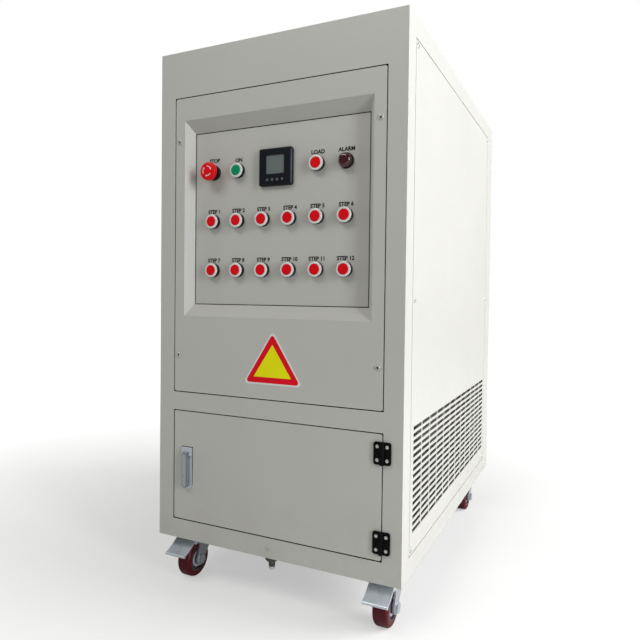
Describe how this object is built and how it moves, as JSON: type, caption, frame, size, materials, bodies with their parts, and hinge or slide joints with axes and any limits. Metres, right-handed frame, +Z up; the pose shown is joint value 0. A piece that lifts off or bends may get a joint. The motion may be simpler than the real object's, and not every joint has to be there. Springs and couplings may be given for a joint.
{
  "type": "generator load bank",
  "caption": "Wheeled resistive load bank for testing generators: sheet-steel cabinet, push-button control panel in a bevelled recess, side intake grilles, castors.",
  "frame": {"origin": "on the floor under the middle of the whole part", "axes": "+X to the right of someone facing the control panel, +Y from the panel towards the back, +Z up"},
  "size_m": [0.5344, 0.8696, 1.101],
  "materials": {
    "cabinet_paint": "warm light grey powder coat with fine orange peel",
    "galvanised": "galvanised sheet steel",
    "zinc": "bright zinc-plated steel",
    "screw_steel": "nickel-plated steel",
    "black_plastic": "black nylon, fine texture",
    "button_ring": "bright white moulded plastic",
    "cap_red": "red moulded plastic",
    "cap_green": "green moulded plastic",
    "lens_red": "dark red moulded lens",
    "meter_black": "black moulded plastic",
    "meter_glass": "grey unlit display window",
    "key_grey": "grey rubber keys",
    "hinge_black": "black painted zinc casting",
    "tread_red": "red polyurethane tread",
    "hub_dark": "dark moulded nylon",
    "fan_black": "black glass-filled nylon",
    "resistor_alu": "dark oxidised finned aluminium",
    "switchgear_grey": "dark grey moulded plastic",
    "terminal_copper": "tinned copper on a laminate board"
  },
  "bodies": {
    "cabinet": {"alarm_lamp": "lens_red", "base_frame": "galvanised", "bulkheads": "galvanised", "button_collars": "black_plastic", "button_rings": "button_ring", "cabinet_frame": "cabinet_paint", "castor_plates": "zinc", "control_plate": "cabinet_paint", "hinge_frame_leaves": "hinge_black", "left_side_panel": "cabinet_paint", "meter_case": "meter_black", "meter_screen": "meter_glass", "panel_screws": "screw_steel", "resistor_bank": "resistor_alu", "right_side_panel": "cabinet_paint", "switchgear": "switchgear_grey", "terminal_board": "terminal_copper", "upper_front_panel": "cabinet_paint"},
    "power_button": {"power_button": "cap_green"},
    "load_button": {"load_button": "cap_red"},
    "step_button_01": {"step_button_01": "cap_red"},
    "step_button_02": {"step_button_02": "cap_red"},
    "step_button_03": {"step_button_03": "cap_red"},
    "step_button_04": {"step_button_04": "cap_red"},
    "step_button_05": {"step_button_05": "cap_red"},
    "step_button_06": {"step_button_06": "cap_red"},
    "step_button_07": {"step_button_07": "cap_red"},
    "step_button_08": {"step_button_08": "cap_red"},
    "step_button_09": {"step_button_09": "cap_red"},
    "step_button_10": {"step_button_10": "cap_red"},
    "step_button_11": {"step_button_11": "cap_red"},
    "step_button_12": {"step_button_12": "cap_red"},
    "estop_stem": {"estop_stem": "black_plastic"},
    "estop_head": {"estop_head": "cap_red"},
    "meter_key_1": {"meter_key_1": "key_grey"},
    "meter_key_2": {"meter_key_2": "key_grey"},
    "meter_key_3": {"meter_key_3": "key_grey"},
    "meter_key_4": {"meter_key_4": "key_grey"},
    "lower_door": {"lower_door": "cabinet_paint", "lower_door_hinges": "hinge_black", "lock_plate": "screw_steel"},
    "lock_spindle": {"lock_spindle": "screw_steel"},
    "lock_lever": {"lock_lever": "screw_steel"},
    "rear_door": {"rear_door": "cabinet_paint", "rear_door_hinges": "hinge_black"},
    "rear_latch": {"rear_latch": "screw_steel"},
    "left_swivel": {"left_swivel_fork": "zinc"},
    "left_brake_pedal": {"left_brake_pedal": "zinc"},
    "front_left_wheel": {"front_left_tread": "tread_red", "front_left_hub": "hub_dark"},
    "right_swivel": {"right_swivel_fork": "zinc"},
    "right_brake_pedal": {"right_brake_pedal": "zinc"},
    "front_right_wheel": {"front_right_tread": "tread_red", "front_right_hub": "hub_dark"},
    "rear_left_wheel": {"rear_left_tread": "tread_red", "rear_left_hub": "hub_dark"},
    "rear_right_wheel": {"rear_right_tread": "tread_red", "rear_right_hub": "hub_dark"},
    "front_fan": {"front_fan_rotor": "fan_black"},
    "rear_fan": {"rear_fan_rotor": "fan_black"}
  },
  "joints": [
    {"name": "power_press", "type": "slide", "parent": "cabinet", "child": "power_button", "axis": [0, 1, 0], "range_m": [0, 0.0035], "stiffness_N_per_m": 450, "springref_m": -0.002},
    {"name": "load_press", "type": "slide", "parent": "cabinet", "child": "load_button", "axis": [0, 1, 0], "range_m": [0, 0.0035], "stiffness_N_per_m": 450, "springref_m": -0.002},
    {"name": "step_press_01", "type": "slide", "parent": "cabinet", "child": "step_button_01", "axis": [0, 1, 0], "range_m": [0, 0.0035], "stiffness_N_per_m": 450, "springref_m": -0.002},
    {"name": "step_press_02", "type": "slide", "parent": "cabinet", "child": "step_button_02", "axis": [0, 1, 0], "range_m": [0, 0.0035], "stiffness_N_per_m": 450, "springref_m": -0.002},
    {"name": "step_press_03", "type": "slide", "parent": "cabinet", "child": "step_button_03", "axis": [0, 1, 0], "range_m": [0, 0.0035], "stiffness_N_per_m": 450, "springref_m": -0.002},
    {"name": "step_press_04", "type": "slide", "parent": "cabinet", "child": "step_button_04", "axis": [0, 1, 0], "range_m": [0, 0.0035], "stiffness_N_per_m": 450, "springref_m": -0.002},
    {"name": "step_press_05", "type": "slide", "parent": "cabinet", "child": "step_button_05", "axis": [0, 1, 0], "range_m": [0, 0.0035], "stiffness_N_per_m": 450, "springref_m": -0.002},
    {"name": "step_press_06", "type": "slide", "parent": "cabinet", "child": "step_button_06", "axis": [0, 1, 0], "range_m": [0, 0.0035], "stiffness_N_per_m": 450, "springref_m": -0.002},
    {"name": "step_press_07", "type": "slide", "parent": "cabinet", "child": "step_button_07", "axis": [0, 1, 0], "range_m": [0, 0.0035], "stiffness_N_per_m": 450, "springref_m": -0.002},
    {"name": "step_press_08", "type": "slide", "parent": "cabinet", "child": "step_button_08", "axis": [0, 1, 0], "range_m": [0, 0.0035], "stiffness_N_per_m": 450, "springref_m": -0.002},
    {"name": "step_press_09", "type": "slide", "parent": "cabinet", "child": "step_button_09", "axis": [0, 1, 0], "range_m": [0, 0.0035], "stiffness_N_per_m": 450, "springref_m": -0.002},
    {"name": "step_press_10", "type": "slide", "parent": "cabinet", "child": "step_button_10", "axis": [0, 1, 0], "range_m": [0, 0.0035], "stiffness_N_per_m": 450, "springref_m": -0.002},
    {"name": "step_press_11", "type": "slide", "parent": "cabinet", "child": "step_button_11", "axis": [0, 1, 0], "range_m": [0, 0.0035], "stiffness_N_per_m": 450, "springref_m": -0.002},
    {"name": "step_press_12", "type": "slide", "parent": "cabinet", "child": "step_button_12", "axis": [0, 1, 0], "range_m": [0, 0.0035], "stiffness_N_per_m": 450, "springref_m": -0.002},
    {"name": "estop_press", "type": "slide", "parent": "cabinet", "child": "estop_stem", "axis": [0, 1, 0], "range_m": [0, 0.005], "stiffness_N_per_m": 900, "springref_m": -0.003},
    {"name": "estop_twist", "type": "hinge", "parent": "estop_stem", "child": "estop_head", "pos_m": [-0.145, -0.4335, 0.853], "axis": [0, 1, 0], "range_deg": [0, 45], "stiffness_Nm_per_rad": 0.05},
    {"name": "meter_key_press_1", "type": "slide", "parent": "cabinet", "child": "meter_key_1", "axis": [0, 1, 0], "range_m": [0, 0.0008], "stiffness_N_per_m": 900, "springref_m": -0.0005},
    {"name": "meter_key_press_2", "type": "slide", "parent": "cabinet", "child": "meter_key_2", "axis": [0, 1, 0], "range_m": [0, 0.0008], "stiffness_N_per_m": 900, "springref_m": -0.0005},
    {"name": "meter_key_press_3", "type": "slide", "parent": "cabinet", "child": "meter_key_3", "axis": [0, 1, 0], "range_m": [0, 0.0008], "stiffness_N_per_m": 900, "springref_m": -0.0005},
    {"name": "meter_key_press_4", "type": "slide", "parent": "cabinet", "child": "meter_key_4", "axis": [0, 1, 0], "range_m": [0, 0.0008], "stiffness_N_per_m": 900, "springref_m": -0.0005},
    {"name": "lower_door_hinge", "type": "hinge", "parent": "cabinet", "child": "lower_door", "pos_m": [0.228, -0.4278, 0.254], "axis": [0, 0, 1], "range_deg": [0, 115]},
    {"name": "lock_turn", "type": "hinge", "parent": "lower_door", "child": "lock_spindle", "pos_m": [-0.1935, -0.4265, 0.2775], "axis": [0, -1, 0], "range_deg": [0, 90]},
    {"name": "lock_lever_lift", "type": "hinge", "parent": "lock_spindle", "child": "lock_lever", "pos_m": [-0.1935, -0.4318, 0.2805], "axis": [-1, 0, 0], "range_deg": [0, 35]},
    {"name": "rear_door_hinge", "type": "hinge", "parent": "cabinet", "child": "rear_door", "pos_m": [0.228, 0.4308, 0.5955], "axis": [0, 0, -1], "range_deg": [0, 115]},
    {"name": "rear_latch_turn", "type": "hinge", "parent": "rear_door", "child": "rear_latch", "pos_m": [-0.1935, 0.4265, 0.5955], "axis": [0, -1, 0], "range_deg": [0, 90]},
    {"name": "left_swivel_turn", "type": "hinge", "parent": "cabinet", "child": "left_swivel", "pos_m": [-0.219, -0.3375, 0.097], "axis": [0, 0, 1], "continuous": true},
    {"name": "left_brake_press", "type": "hinge", "parent": "left_swivel", "child": "left_brake_pedal", "pos_m": [-0.219, -0.3635, 0.082], "axis": [1, 0, 0], "range_deg": [0, 7]},
    {"name": "front_left_wheel_roll", "type": "hinge", "parent": "left_swivel", "child": "front_left_wheel", "pos_m": [-0.219, -0.3675, 0.0375], "axis": [1, 0, 0], "continuous": true},
    {"name": "right_swivel_turn", "type": "hinge", "parent": "cabinet", "child": "right_swivel", "pos_m": [0.219, -0.3375, 0.097], "axis": [0, 0, 1], "continuous": true},
    {"name": "right_brake_press", "type": "hinge", "parent": "right_swivel", "child": "right_brake_pedal", "pos_m": [0.219, -0.3635, 0.082], "axis": [1, 0, 0], "range_deg": [0, 7]},
    {"name": "front_right_wheel_roll", "type": "hinge", "parent": "right_swivel", "child": "front_right_wheel", "pos_m": [0.219, -0.3675, 0.0375], "axis": [1, 0, 0], "continuous": true},
    {"name": "rear_left_wheel_roll", "type": "hinge", "parent": "cabinet", "child": "rear_left_wheel", "pos_m": [-0.219, 0.3105, 0.0375], "axis": [1, 0, 0], "continuous": true},
    {"name": "rear_right_wheel_roll", "type": "hinge", "parent": "cabinet", "child": "rear_right_wheel", "pos_m": [0.219, 0.3105, 0.0375], "axis": [1, 0, 0], "continuous": true},
    {"name": "front_fan_spin", "type": "hinge", "parent": "cabinet", "child": "front_fan", "pos_m": [0, -0.051, 0.4335], "axis": [0, 0, 1], "continuous": true},
    {"name": "rear_fan_spin", "type": "hinge", "parent": "cabinet", "child": "rear_fan", "pos_m": [0, 0.239, 0.4335], "axis": [0, 0, 1], "continuous": true}
  ]
}
